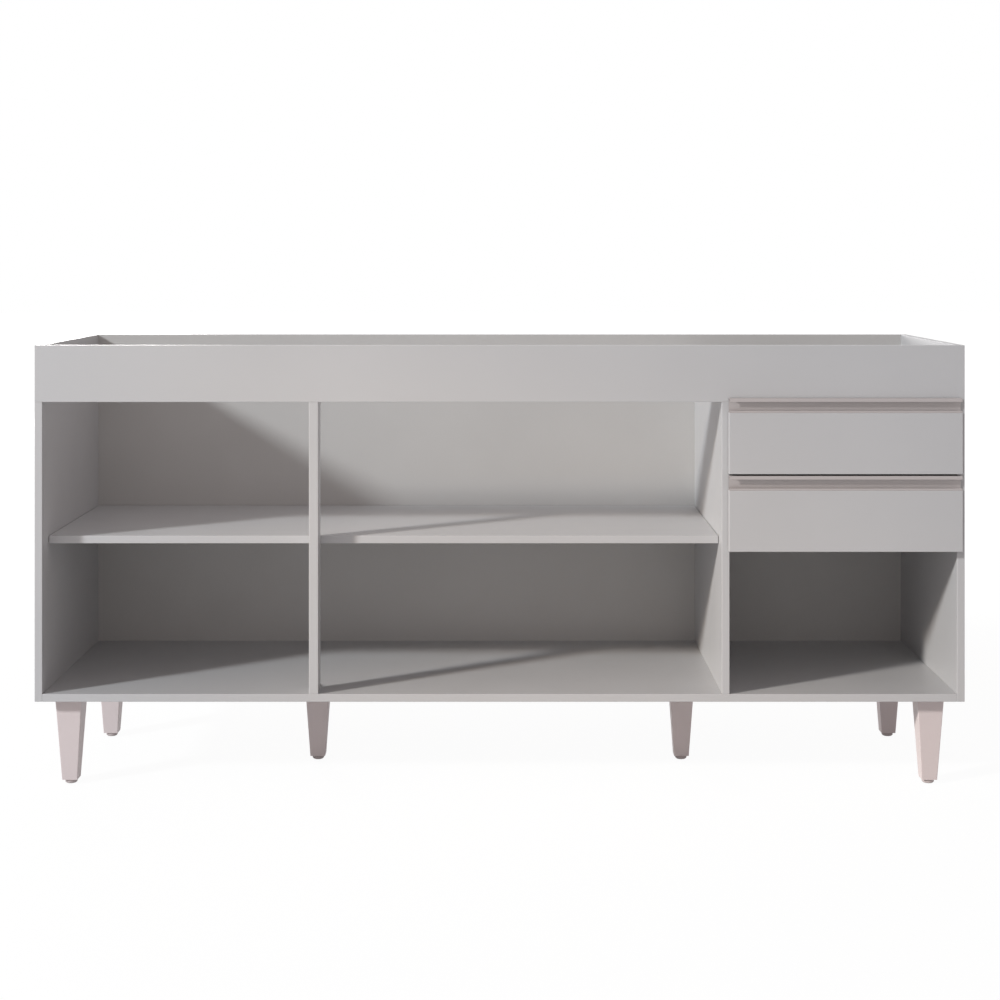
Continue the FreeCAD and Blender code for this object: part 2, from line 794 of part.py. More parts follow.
def drawer_rail(drawer, side):
    """An angle under the drawer side, with a flange over the front roller and an axle at the rear."""
    label = f"{drawer}_drawer_rail_{SIDE_NAMES[side]}"
    inward = -side
    body = rail_body(label, drawer, side, "hang_y")
    web = f"{inward} * (side_clearance - rail_sheet)"
    box_face = f"{inward} * side_clearance"
    ledge = f"{inward} * (side_clearance + drawer_side)"
    points = [
        (web, "-rail_drop - rail_sheet"),
        (ledge, "-rail_drop - rail_sheet"),
        (ledge, "-rail_drop"),
        (box_face, "-rail_drop"),
        (box_face, "flange_z + rail_sheet"),
        (f"{inward} * flange_start", "flange_z + rail_sheet"),
        (f"{inward} * flange_start", "flange_z"),
        (web, "flange_z"),
    ]
    extrude(body, "Pad", outline(body, label + "_section", "XZ_Plane", points), "rail_length", reverse=True)
    middle = f"{inward} * (side_clearance + drawer_side / 2)"
    centres = [(middle, place_name) for place_name in RAIL_SCREWS]
    hole_radius = "screw_radius + sheet_hole_fit"
    holes = circles(body, label + "_holes", "XY_Plane", centres, hole_radius, "-rail_drop")
    extrude(body, "Pocket", holes, "rail_sheet")
    axle(body, label, "rail_length - roller_inset", "rear_roller_z", web, -inward)
    finished[label] = body


def roller(label, drawer, x, y, z):
    """A nylon roller on its axle, turning about X."""
    body = body_at(label, x, y, f"{drawer}_z + box_lift + rail_drop + {z}")
    points = [
        (0, "axle_radius + axle_fit"),
        ("roller_width", "axle_radius + axle_fit"),
        ("roller_width", "roller_radius - roller_bevel"),
        ("roller_width - roller_bevel", "roller_radius"),
        ("roller_bevel", "roller_radius"),
        (0, "roller_radius - roller_bevel"),
    ]
    revolve(body, outline(body, label + "_half", "XZ_Plane", points), "H_Axis")
    finished[label] = body


def rollers(drawer, side):
    """The front roller on the cabinet rail and the rear roller on the drawer rail."""
    name = SIDE_NAMES[side]
    near = "rail_sheet + roller_side_gap"
    far = "side_clearance - rail_sheet - roller_side_gap"
    starts = {
        -1: (f"bay_x + {near}", f"bay_x + {far} - roller_width"),
        1: (f"inner_x - ({near}) - roller_width", f"inner_x - ({far})"),
    }
    front_x, rear_x = starts[side]
    roller(f"{drawer}_cabinet_roller_{name}", drawer, front_x, "rail_y + roller_inset", "front_roller_z")
    roller(f"{drawer}_drawer_roller_{name}", drawer, rear_x, "hang_y + rail_length - roller_inset",
           "rear_roller_z")


# Drawers


def drawer_boards(drawer):
    """The front, and a box of inner front, two grooved sides, back and bottom sheet behind it."""
    level = f"{drawer}_z"
    low = f"{level} + box_lift"
    heights = (low, f"{low} + box_height")
    sheet_low = f"{low} + sheet_lift"
    sheet_high = f"{sheet_low} + drawer_sheet"
    slot = (sheet_low, f"{sheet_high} + groove_fit")
    depths = ("hang_y", "box_back_y")
    left_face = "box_x + drawer_side"
    right_face = "box_far_x - drawer_side"
    inner_back = "hang_y + drawer_side"
    groove_start = f"{inner_back} - drawer_groove"
    long_groove = (groove_start, "box_back_y + cut_margin")
    left_groove = (f"{left_face} - drawer_groove", f"{left_face} + cut_margin")
    right_groove = (f"{right_face} - cut_margin", f"{right_face} + drawer_groove")
    front_groove = (groove_start, f"{inner_back} + cut_margin")
    sheet_reach = "drawer_groove - groove_fit"
    sheet_width = (f"{left_face} - ({sheet_reach})", f"{right_face} + {sheet_reach}")
    prefix = f"{drawer}_drawer_"
    board(prefix + "front", ("front_x", "front_x + front_width"), ("face_y", "hang_y"),
          (level, f"{level} + front_height"))
    board(prefix + "inner_front", (left_face, right_face), ("hang_y", inner_back), heights,
          notches=[(("box_x", "box_far_x"), front_groove, slot)])
    board(prefix + "side_left", ("box_x", left_face), depths, heights,
          notches=[(left_groove, long_groove, slot)])
    board(prefix + "side_right", (right_face, "box_far_x"), depths, heights,
          notches=[(right_groove, long_groove, slot)])
    board(prefix + "back", (left_face, right_face), ("box_back_y - drawer_side", "box_back_y"),
          (sheet_high, f"{low} + box_height"))
    board(prefix + "bottom", sheet_width, (f"{groove_start} + groove_fit", "box_back_y"),
          (sheet_low, sheet_high), soft_edges=False)


def drawer_screws(drawer):
    """Long screws through the pull, the inner front, the sides, the rails and the bottom sheet."""
    level = size(drawer + "_z")
    low = level + size("box_lift")
    half = size("drawer_side") / 2
    up = Vector(0, 0, 1)
    seats = []
    pull_y = size("face_y") + size("front_thickness") / 2
    for place_name in HANDLE_SCREWS:
        x = size("front_x") + size("handle_short") + size(place_name)
        seats.append((Vector(x, pull_y, level + size("front_height") + size("handle_wall")), up * -1))
    edges = (size("box_x") + size("box_screw_inset"), size("box_far_x") - size("box_screw_inset"))
    for z in (low + size("box_screw_low"), low + size("box_screw_high")):
        for x in edges:
            seats.append((Vector(x, size("hang_y") + size("drawer_side"), z), Vector(0, -1, 0)))
        for y in (size("hang_y") + half, size("box_back_y") - half):
            seats.append((Vector(size("box_x"), y, z), Vector(1, 0, 0)))
            seats.append((Vector(size("box_far_x"), y, z), Vector(-1, 0, 0)))
    for place_name in RAIL_SCREWS:
        for x in (size("box_x") + half, size("box_far_x") - half):
            seats.append((Vector(x, size("hang_y") + size(place_name), low - size("rail_sheet")), up))
    for x in (edges[0], (edges[0] + edges[1]) / 2, edges[1]):
        seats.append((Vector(x, size("box_back_y") - half, low + size("sheet_lift")), up))
    return [wood_screw(size("long_screw"), *seat) for seat in seats]


def handle(drawer):
    """A pull of C section along the top of the front, open at its ends, with screw holes in its foot."""
    label = f"{drawer}_drawer_handle"
    body = body_at(label, "front_x + handle_short", "face_y", f"{drawer}_z + front_height")
    inner_y = "handle_depth - handle_wall"
    points = [
        (0, 0),
        ("handle_depth", 0),
        ("handle_depth", "handle_height"),
        (0, "handle_height"),
        (0, "handle_height - handle_lip"),
        ("handle_wall", "handle_height - handle_lip"),
        ("handle_wall", "handle_height - handle_wall"),
        (inner_y, "handle_height - handle_wall"),
        (inner_y, "handle_wall"),
        ("handle_wall", "handle_wall"),
        ("handle_wall", "handle_toe"),
        (0, "handle_toe"),
    ]
    section = outline(body, label + "_section", "YZ_Plane", points)
    profile = extrude(body, "Pad", section, "handle_length")

    def front_edge(edge):
        box = edge.BoundBox
        return box.XLength > size("handle_length") / 2 and box.YMax < size("handle_wall") / 2

    round_edges(body, profile, front_edge, "handle_round")
    middle = "front_thickness / 2"
    centres = [(place_name, middle) for place_name in HANDLE_SCREWS]
    hole_radius = "screw_radius + sheet_hole_fit"
    holes = circles(body, label + "_holes", "XY_Plane", centres, hole_radius, "handle_wall")
    extrude(body, "Pocket", holes, "handle_wall")
    finished[label] = body


def drawer_unit(drawer):
    """One drawer with its pull, its box, its slides and their rollers."""
    known = set(blanks)
    drawer_boards(drawer)
    labels = [label for label in blanks if label not in known]
    doc.recompute()
    solids, holes = collect(drawer_screws(drawer))
    group(f"{drawer}_drawer_screws", solids)
    drill(labels, holes)
    handle(drawer)
    for side in SIDES:
        cabinet_rail(drawer, side)
        drawer_rail(drawer, side)
        rollers(drawer, side)


def check_document():
    """Stop if any object failed or any finished shape is empty or not valid."""
    for item in doc.Objects:
        if "Invalid" in item.State or "Error" in item.State:
            raise RuntimeError(f"{item.Label} failed: {item.State}")
    for label, item in finished.items():
        if item.Shape.isNull() or not item.Shape.isValid() or not item.Shape.Solids:
            raise RuntimeError(f"{label} has no valid solid")


def export_parts():
    os.makedirs("parts", exist_ok=True)
    for label, item in finished.items():
        item.Shape.exportStep(f"parts/{label}.step")
        print(label, len(item.Shape.Solids), round(item.Shape.Volume))


fill_sheet()
carcass()
legs()
for drawer_name in DRAWERS:
    drawer_unit(drawer_name)
doc.recompute()
check_document()
export_parts()
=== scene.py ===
"""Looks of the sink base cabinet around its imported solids. Metres, front towards -Y, Z up."""
import logging
import math
from dataclasses import dataclass
from enum import Enum
from typing import ClassVar

import bmesh
import bpy
from mathutils import Matrix, Vector


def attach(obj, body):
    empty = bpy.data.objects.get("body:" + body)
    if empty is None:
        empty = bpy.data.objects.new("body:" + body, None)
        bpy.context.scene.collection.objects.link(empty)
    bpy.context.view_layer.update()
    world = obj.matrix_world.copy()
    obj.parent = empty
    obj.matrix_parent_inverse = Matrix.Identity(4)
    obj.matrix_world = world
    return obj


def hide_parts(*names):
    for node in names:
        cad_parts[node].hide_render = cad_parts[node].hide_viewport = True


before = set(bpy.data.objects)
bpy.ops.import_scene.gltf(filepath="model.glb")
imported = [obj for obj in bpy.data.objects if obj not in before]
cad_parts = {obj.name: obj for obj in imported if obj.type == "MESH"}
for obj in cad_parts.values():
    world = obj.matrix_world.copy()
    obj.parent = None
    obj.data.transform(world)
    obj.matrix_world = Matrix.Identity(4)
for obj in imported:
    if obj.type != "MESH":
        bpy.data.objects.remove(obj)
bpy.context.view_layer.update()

log = logging.getLogger("sink_base_cabinet")

Colour = tuple[float, float, float]
Rgba = tuple[float, float, float, float]
Place = tuple[float, float, float]
Span = tuple[float, float]
Ring = list[bmesh.types.BMVert]
Socket = bpy.types.NodeSocket

WHITE: Colour = (1.0, 1.0, 1.0)
FULL: Span = (0.0, 1.0)
# Most values of a noise texture lie in this range.
NOISE_SPAN: Span = (0.3, 0.7)
# Corners of a CAD mesh that are nearer than this are one corner.
WELD = 1e-6


class Slot(Enum):
    """Material slots of the record."""

    BOARD = "board_lacquer"
    BACK = "back_sheet"
    DRAWER_BOARD = "drawer_board"
    DRAWER_SHEET = "drawer_sheet"
    LEG = "leg_lacquer"
    FOOT = "foot_plastic"
    PULL = "pull_metal"
    SLIDE = "slide_steel"
    ROLLER = "roller_nylon"
    FITTING = "fitting_steel"
    DOWEL = "dowel_beech"


class Level(Enum):
    """The two drawers, by their place in the column."""

    UPPER = "upper"
    LOWER = "lower"


class Side(Enum):
    """The two sides of a drawer, or of a row of legs."""

    LEFT = "left"
    RIGHT = "right"


class LegRow(Enum):
    """The rows of legs, from the front to the wall."""

    FRONT = "front"
    MID = "mid"
    REAR = "rear"


class Owner(Enum):
    """What a half of a roller slide is screwed to."""

    CABINET = "cabinet"
    DRAWER = "drawer"


class Run(Enum):
    """How a streaky texture is squeezed so that its streaks run along one axis."""

    ALONG_X = (0.02, 1.0, 1.0)
    ALONG_Y = (1.0, 0.02, 1.0)


@dataclass(frozen=True)
class Grain:
    """A cloudy texture: its features per metre and its octaves of finer noise."""

    scale: float
    detail: float


@dataclass(frozen=True)
class WornHighlitEdge:
    """A broken line of another tone along the edges, for rubbed wear and a painted highlight: its
    reach, its breaks per metre, its tone.
    """

    reach: float
    breaks: float
    tone: float


def shade(colour: Colour, tone: float = 1.0) -> Rgba:
    """Make a colour lighter or darker.

    Args:
        colour: Linear red, green and blue.
        tone: What to multiply them by.

    Returns:
        The new colour with full alpha.
    """
    red, green, blue = (min(1.0, part * tone) for part in colour)
    return red, green, blue, 1.0


class NodeMaker:
    """Adds and links the nodes of one tree."""

    def __init__(self, tree: bpy.types.NodeTree) -> None:
        """Take a tree.

        Args:
            tree: Node tree of a material or of the world.
        """
        self.tree = tree

    def put(self, socket: Socket, value: object) -> None:
        """Link a socket to another one, or set its own value.

        Args:
            socket: Input to fill.
            value: An output socket, or a plain value.
        """
        if isinstance(value, Socket):
            self.tree.links.new(value, socket)
        else:
            socket.default_value = value

    def add(self, kind: str, inputs: dict | None = None, **settings: object) -> bpy.types.Node:
        """Add a node.

        Args:
            kind: Node type without its prefix.
            inputs: Values or sockets by the input's name or number.
            settings: Properties of the node.

        Returns:
            The new node.
        """
        node = self.tree.nodes.new("ShaderNode" + kind)
        for name, value in settings.items():
            setattr(node, name, value)
        for name, value in (inputs or {}).items():
            self.put(node.inputs[name], value)
        return node

    def spread(self, value: Socket, result: Span, source: Span = NOISE_SPAN) -> Socket:
        """Map a value onto a range.

        Args:
            value: Incoming value.
            result: Results at the two ends.
            source: Incoming values at the two ends.

        Returns:
            The mapped value.
        """
        node = self.add("MapRange", {"Value": value, "From Min": source[0], "From Max": source[1],
                                     "To Min": result[0], "To Max": result[1]})
        return node.outputs["Result"]

    def backdrop(self, lighting: Socket, looked_at: Socket, output: str) -> None:
        """Light the object by one shader and show another one behind it.

        Args:
            lighting: Shader that lights the object.
            looked_at: Shader that camera, glossy and transmission rays see.
            output: Type of the output node without its prefix.
        """
        path = self.add("LightPath").outputs
        seen = path["Is Camera Ray"]
        for name in ("Is Glossy Ray", "Is Transmission Ray"):
            seen = self.add("Math", {0: seen, 1: path[name]}, operation="MAXIMUM").outputs["Value"]
        mix = self.add("MixShader", {0: seen, 1: lighting, 2: looked_at})
        self.add(output, {"Surface": mix.outputs["Shader"]})


class MaterialMaker(NodeMaker):
    """Adds and links the nodes of one procedural material."""

    EDGE_SAMPLES = 4
    # Cosine between bevelled and plain normal: on an edge, and on a flat face.
    EDGE_COSINE: Span = (0.86, 0.995)
    BREAK_DETAIL = 4.0
    BREAK_SHARE: Span = (0.25, 1.0)

    def __init__(self, name: str) -> None:
        """Start a material.

        Args:
            name: Name of the finish.
        """
        self.material = bpy.data.materials.new(name)
        self.material.use_nodes = True
        super().__init__(self.material.node_tree)
        self.shader = next(node for node in self.tree.nodes if node.type == "BSDF_PRINCIPLED")
        self.coords = self.add("TexCoord").outputs["Object"]

    def surface(self, **values: float) -> None:
        """Set plain numbers on the shader's own sockets, named with underscores for spaces."""
        for name, value in values.items():
            self.shader.inputs[name.replace("_", " ")].default_value = value

    def noise(self, grain: Grain, run: Run | None = None) -> Socket:
        """Add a cloudy texture in the piece's own metres.

        Args:
            grain: How fine it is.
            run: Axis of the streaks, if it is streaky.

        Returns:
            A value around one half.
        """
        where = self.coords
        if run is not None:
            where = self.add("Mapping", {"Vector": where, "Scale": run.value}).outputs["Vector"]
        inputs = {"Vector": where, "Scale": grain.scale, "Detail": grain.detail}
        return self.add("TexNoise", inputs).outputs["Fac"]

    def cells(self, scale: float) -> Socket:
        """Add a crystal texture and give each cell one value."""
        node = self.add("TexVoronoi", {"Vector": self.coords, "Scale": scale})
        return self.add("SeparateColor", {"Color": node.outputs["Color"]}).outputs["Red"]

    def tint(self, factor: Socket, first: Socket | Rgba, second: Socket | Rgba) -> Socket:
        """Mix two colours.

        Args:
            factor: Share of the second colour.
            first: Colour at factor 0.
            second: Colour at factor 1.

        Returns:
            The mixed colour.
        """
        node = self.add("Mix", data_type="RGBA")
        for name, value in (("Factor_Float", factor), ("A_Color", first), ("B_Color", second)):
            self.put(next(item for item in node.inputs if item.identifier == name), value)
        return next(item for item in node.outputs if item.identifier == "Result_Color")

    def mottle(self, value: Socket, colour: Colour, tones: Span,
               source: Span = NOISE_SPAN) -> Socket:
        """Let a colour's tone follow a texture.

        Args:
            value: The texture.
            colour: The colour.
            tones: Its tones at the two ends of the texture.
            source: Values of the texture at its two ends.

        Returns:
            The mottled colour.
        """
        low, high = (shade(colour, tone) for tone in tones)
        return self.tint(self.spread(value, FULL, source), low, high)

    def stain(self, base: Socket, value: Socket, share: float, colour: Rgba,
              source: Span = NOISE_SPAN) -> Socket:
        """Lay a second colour over a first one where a texture is high.

        Args:
            base: The first colour.
            value: The texture.
            share: Most that the second colour covers.
            colour: The second colour.
            source: Values of the texture at no cover and at most cover.

        Returns:
            The stained colour.
        """
        return self.tint(self.spread(value, (0.0, share), source), base, colour)

    def wear_and_highlight_edges(self, base: Socket, colour: Colour, edge: WornHighlitEdge) -> Socket:
        """Give a colour another tone along the edges of the piece: rubbed wear together with a
        painted highlight of the rounded edges.

        Args:
            base: Colour of the faces.
            colour: Plain colour of the finish.
            edge: The line along the edges.

        Returns:
            The colour with its edges.
        """
        # Lighter edges: rubbed wear plus a painted highlight, as if the rounded edges caught the
        # light.
        soft = self.add("Bevel", {"Radius": edge.reach}, samples=self.EDGE_SAMPLES)
        plain = self.add("NewGeometry")
        normals = {0: soft.outputs["Normal"], 1: plain.outputs["True Normal"]}
        cosine = self.add("VectorMath", normals, operation="DOT_PRODUCT")
        mask = self.spread(cosine.outputs["Value"], (1.0, 0.0), self.EDGE_COSINE)
        kept = self.spread(self.noise(Grain(edge.breaks, self.BREAK_DETAIL)), self.BREAK_SHARE)
        wear_and_highlight = self.add("Math", {0: mask, 1: kept}, operation="MULTIPLY")
        return self.tint(wear_and_highlight.outputs["Value"], base, shade(colour, edge.tone))

    def bump(self, *layers: tuple[Socket, float]) -> None:
        """Stack height textures on the surface.

        Args:
            layers: Each height texture with its depth in metres.
        """
        normal = None
        for height, depth in layers:
            inputs = {"Height": height, "Distance": depth, "Strength": 1.0}
            if normal is not None:
                inputs["Normal"] = normal
            normal = self.add("Bump", inputs).outputs["Normal"]
        self.put(self.shader.inputs["Normal"], normal)

    def finish(self, colour: Socket, roughness: Socket) -> bpy.types.Material:
        """Link colour and roughness and hand the material over.

        Args:
            colour: The base colour.
            roughness: The roughness.

        Returns:
            The material.
        """
        self.put(self.shader.inputs["Base Color"], colour)
        self.put(self.shader.inputs["Roughness"], roughness)
        return self.material


@dataclass(frozen=True)
class Finish:
    """A finish of the cabinet. Spans of tone and roughness go with the two ends of a texture."""

    name: str
    colour: Colour

    def make(self) -> bpy.types.Material:
        """Build the finish's material."""
        raise NotImplementedError


@dataclass(frozen=True)
class SprayedCoat(Finish):
    """Sprayed lacquer or powder with orange peel, cloudy gloss, and edges lightened by rubbed wear
    and a painted highlight.
    """

    roughness: Span = (0.39, 0.50)
    metallic: float = 0.0
    specular: float = 0.5
    coat: float = 0.10
    coat_roughness: float = 0.28
    cloud: Grain = Grain(2.4, 4.0)
    tones: Span = (0.975, 1.025)
    speck: Grain = Grain(1900.0, 1.0)
    speck_source: Span = (0.55, 0.75)
    speck_share: float = 0.10
    speck_tone: float = 0.8
    edge: WornHighlitEdge = WornHighlitEdge(0.0022, 90.0, 1.10)
    haze: Grain = Grain(7.0, 5.0)
    wave: Grain = Grain(16.0, 1.0)
    wave_depth: float = 8.0e-5
    peel: Grain = Grain(620.0, 2.0)
    peel_depth: float = 2.4e-5

    def make(self) -> bpy.types.Material:
        """Build the material.

        Returns:
            The finished material.
        """
        maker = MaterialMaker(self.name)
        base = maker.mottle(maker.noise(self.cloud), self.colour, self.tones)
        base = maker.stain(base, maker.noise(self.speck), self.speck_share,
                           shade(self.colour, self.speck_tone), self.speck_source)
        base = maker.wear_and_highlight_edges(base, self.colour, self.edge)
        maker.surface(Metallic=self.metallic, Specular_IOR_Level=self.specular,
                      Coat_Weight=self.coat, Coat_Roughness=self.coat_roughness)
        maker.bump((maker.noise(self.wave), self.wave_depth),
                   (maker.noise(self.peel), self.peel_depth))
        return maker.finish(base, maker.spread(maker.noise(self.haze), self.roughness))


@dataclass(frozen=True)
class PressedFoil(Finish):
    """Foil on board, pressed with a fine grain that runs along the board."""

    run: Run
    roughness: Span = (0.57, 0.44)
    fine: Grain = Grain(420.0, 5.0)
    fine_depth: float = 4.0e-5
    tones: Span = (0.955, 1.045)
    broad: Grain = Grain(38.0, 3.0)
    broad_share: float = 0.4
    broad_tone: float = 0.93
    edge: WornHighlitEdge = WornHighlitEdge(0.0018, 120.0, 1.08)
    skin: Grain = Grain(900.0, 1.0)
    skin_depth: float = 8.0e-6

    def make(self) -> bpy.types.Material:
        """Build the material.

        Returns:
            The finished material.
        """
        maker = MaterialMaker(self.name)
        fine = maker.noise(self.fine, self.run)
        base = maker.mottle(fine, self.colour, self.tones)
        base = maker.stain(base, maker.noise(self.broad, self.run), self.broad_share,
                           shade(self.colour, self.broad_tone))
        base = maker.wear_and_highlight_edges(base, self.colour, self.edge)
        maker.bump((fine, self.fine_depth), (maker.noise(self.skin), self.skin_depth))
        return maker.finish(base, maker.spread(fine, self.roughness))


@dataclass(frozen=True)
class LacqueredHardboard(Finish):
    """Thin hardboard under lacquer, with its pressed fibres showing a little."""

    roughness: Span = (0.46, 0.58)
    cloud: Grain = Grain(3.0, 4.0)
    tones: Span = (0.97, 1.03)
    fibre: Grain = Grain(340.0, 6.0)
    fibre_depth: float = 3.0e-5
    fibre_source: Span = (0.5, 0.8)
    fibre_share: float = 0.25
    fibre_tone: float = 0.88
    haze: Grain = Grain(11.0, 4.0)

    def make(self) -> bpy.types.Material:
        """Build the material.

        Returns:
            The finished material.
        """
        maker = MaterialMaker(self.name)
        fibre = maker.noise(self.fibre)
        base = maker.mottle(maker.noise(self.cloud), self.colour, self.tones)
        base = maker.stain(base, fibre, self.fibre_share, shade(self.colour, self.fibre_tone),
                           self.fibre_source)
        maker.bump((fibre, self.fibre_depth))
        return maker.finish(base, maker.spread(maker.noise(self.haze), self.roughness))


@dataclass(frozen=True)
class BrushedAnodised(Finish):
    """Anodised aluminium, brushed along its length."""

    roughness: Span = (0.35, 0.51)
    metallic: float = 0.35
    anisotropy: float = 0.3
    brush: Grain = Grain(2600.0, 3.0)
    brush_depth: float = 4.0e-6
    tones: Span = (0.96, 1.04)
    cloud: Grain = Grain(5.0, 3.0)
    cloud_share: float = 0.5
    cloud_tone: float = 0.96
    edge: WornHighlitEdge = WornHighlitEdge(0.0009, 150.0, 1.12)

    def make(self) -> bpy.types.Material:
        """Build the material.

        Returns:
            The finished material.
        """
        maker = MaterialMaker(self.name)
        brush = maker.noise(self.brush, Run.ALONG_X)
        base = maker.mottle(brush, self.colour, self.tones)
        base = maker.stain(base, maker.noise(self.cloud), self.cloud_share,
                           shade(self.colour, self.cloud_tone))
        base = maker.wear_and_highlight_edges(base, self.colour, self.edge)
        maker.surface(Metallic=self.metallic, Anisotropic=self.anisotropy)
        maker.bump((brush, self.brush_depth))
        return maker.finish(base, maker.spread(brush, self.roughness))


@dataclass(frozen=True)
class ZincPlate(Finish):
    """Zinc plated steel with crystal spangle and a faint warm passivation."""

    roughness: Span = (0.28, 0.46)
    spangle: float = 420.0
    tones: Span = (0.84, 1.08)
    warm: Colour = (0.60, 0.56, 0.44)
    warm_cloud: Grain = Grain(60.0, 3.0)
    warm_share: float = 0.35
    edge: WornHighlitEdge = WornHighlitEdge(0.0006, 300.0, 1.2)
    skin: Grain = Grain(1500.0, 3.0)
    skin_depth: float = 6.0e-6

    def make(self) -> bpy.types.Material:
        """Build the material.

        Returns:
            The finished material.
        """
        maker = MaterialMaker(self.name)
        spangle = maker.cells(self.spangle)
        base = maker.mottle(spangle, self.colour, self.tones, FULL)
        base = maker.stain(base, maker.noise(self.warm_cloud), self.warm_share, shade(self.warm))
        base = maker.wear_and_highlight_edges(base, self.colour, self.edge)
        maker.surface(Metallic=1.0)
        maker.bump((maker.noise(self.skin), self.skin_depth))
        return maker.finish(base, maker.spread(spangle, self.roughness, FULL))


@dataclass(frozen=True)
class MouldedPlastic(Finish):
    """Moulded plastic with a fine spark-eroded skin and flow marks."""

    roughness: Span = (0.43, 0.55)
    flow: Grain = Grain(130.0, 3.0)
    tones: Span = (0.96, 1.04)
    edge: WornHighlitEdge = WornHighlitEdge(0.0008, 260.0, 1.1)
    skin: Grain = Grain(2600.0, 2.0)
    skin_depth: float = 1.2e-5
    subsurface: float = 0.0
    subsurface_scale: float = 0.002

    def make(self) -> bpy.types.Material:
        """Build the material.

        Returns:
            The finished material.
        """
        maker = MaterialMaker(self.name)
        flow = maker.noise(self.flow)
        base = maker.mottle(flow, self.colour, self.tones)
        base = maker.wear_and_highlight_edges(base, self.colour, self.edge)
        maker.surface(Subsurface_Weight=self.subsurface, Subsurface_Scale=self.subsurface_scale)
        maker.bump((maker.noise(self.skin), self.skin_depth))
        return maker.finish(base, maker.spread(flow, self.roughness))


@dataclass(frozen=True)
class TurnedBeech(Finish):
    """Beech with its short dark flecks along the grain."""

    roughness: Span = (0.66, 0.52)
    fleck: Grain = Grain(900.0, 4.0)
    fleck_depth: float = 4.0e-5
    tones: Span = (0.8, 1.12)

    def make(self) -> bpy.types.Material:
        """Build the material.

        Returns:
            The finished material.
        """
        maker = MaterialMaker(self.name)
        fleck = maker.noise(self.fleck, Run.ALONG_X)
        maker.bump((fleck, self.fleck_depth))
        base = maker.mottle(fleck, self.colour, self.tones)
        return maker.finish(base, maker.spread(fleck, self.roughness))


class Palette:
    """One material for each slot of the record, with a second run for the drawer boards."""

    FOIL: Colour = (0.60, 0.60, 0.60)
    FINISHES: dict[Slot, Finish] = {
        Slot.BOARD: SprayedCoat("board_lacquer", (0.53, 0.53, 0.54)),
        Slot.BACK: LacqueredHardboard("back_sheet", (0.53, 0.52, 0.51)),
        Slot.DRAWER_BOARD: PressedFoil("drawer_board", FOIL, Run.ALONG_Y),
        Slot.DRAWER_SHEET: LacqueredHardboard("drawer_sheet", FOIL),
        Slot.LEG: SprayedCoat("leg_lacquer", (0.715, 0.637, 0.637), roughness=(0.45, 0.56),
                              metallic=0.05, specular=0.2, coat=0.0,
                              edge=WornHighlitEdge(0.0016, 90.0, 1.10), peel=Grain(900.0, 2.0)),
        Slot.FOOT: MouldedPlastic("foot_plastic", (0.54, 0.48, 0.48)),
        Slot.PULL: BrushedAnodised("pull_metal", (0.463, 0.425, 0.42)),
        Slot.SLIDE: SprayedCoat("slide_steel", (0.68, 0.68, 0.68), roughness=(0.31, 0.42),
                                edge=WornHighlitEdge(0.0008, 90.0, 1.10), wave_depth=1.0e-5,
                                peel=Grain(1300.0, 2.0), peel_depth=3.0e-5),
        Slot.ROLLER: MouldedPlastic("roller_nylon", (0.80, 0.80, 0.77), subsurface=0.12),
        Slot.FITTING: ZincPlate("fitting_steel", (0.60, 0.60, 0.61)),
        Slot.DOWEL: TurnedBeech("dowel_beech", (0.52, 0.37, 0.22)),
    }

    def __init__(self) -> None:
        """Mix every finish once."""
        self.materials = {slot: finish.make() for slot, finish in self.FINISHES.items()}
        self.cross_foil = PressedFoil("drawer_board_cross", self.FOIL, Run.ALONG_X).make()

    def dress(self, piece: bpy.types.Object, slot: Slot, cross: bool = False) -> None:
        """Give a piece its finish.

        Args:
            piece: CAD node or new piece.
            slot: Slot that the finish belongs to.
            cross: Whether a drawer board's grain runs across the cabinet.
        """
        material = self.cross_foil if cross else self.materials[slot]
        piece.data.materials.clear()
        piece.data.materials.append(material)


@dataclass(frozen=True)
class RoundSolid:
    """A turned solid found in a CAD node: its axis, from its thicker end to its thinner one."""

    SAME_LEVEL: ClassVar[float] = 1e-5

    thick_end: Vector
    thin_end: Vector
    radius: float

    @classmethod
    def measure(cls, points: list[Vector]) -> "RoundSolid":
        """Find the axis of a solid that is turned about X, Y or Z.

        Args:
            points: Its corner points.

        Returns:
            The measured solid.
        """
        low = Vector(min(point[axis] for point in points) for axis in range(3))
        high = Vector(max(point[axis] for point in points) for axis in range(3))
        extent = high - low
        across = sorted(extent)[1]
        along = max(range(3), key=lambda axis: abs(extent[axis] - across))
        centre = (low + high) / 2
        ends = []
        for level in (low[along], high[along]):
            end = centre.copy()
            end[along] = level
            flat = [point for point in points if abs(point[along] - level) < cls.SAME_LEVEL]
            ends.append((max((point - end).length for point in flat), end))
        ends.sort(key=lambda pair: pair[0], reverse=True)
        return cls(ends[0][1], ends[1][1], across / 2)

    @property
    def length(self) -> float:
        """Distance between the two ends."""
        return (self.thin_end - self.thick_end).length

    @property
    def place(self) -> Matrix:
        """Find where the solid stands.

        Returns:
            A place with its origin at the thick end and Z towards the thin end.
        """
        direction = (self.thin_end - self.thick_end).normalized()
        turn = direction.to_track_quat("Z", "Y").to_matrix().to_4x4()
        return Matrix.Translation(self.thick_end) @ turn


def loose_solids(node: str) -> list[RoundSolid]:
    """Measure each separate solid of a CAD node.

    Args:
        node: Name of the node.

    Returns:
        The solids, in the order of their first corner.
    """
    merged = bmesh.new()
    merged.from_mesh(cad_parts[node].data)
    bmesh.ops.remove_doubles(merged, verts=merged.verts, dist=WELD)
    seen: set[bmesh.types.BMVert] = set()
    solids = []
    for first in merged.verts:
        if first in seen:
            continue
        seen.add(first)
        waiting = [first]
        points = []
        while waiting:
            corner = waiting.pop()
            points.append(corner.co.copy())
            for edge in corner.link_edges:
                other = edge.other_vert(corner)
                if other not in seen:
                    seen.add(other)
                    waiting.append(other)
        solids.append(RoundSolid.measure(points))
    merged.free()
    return solids


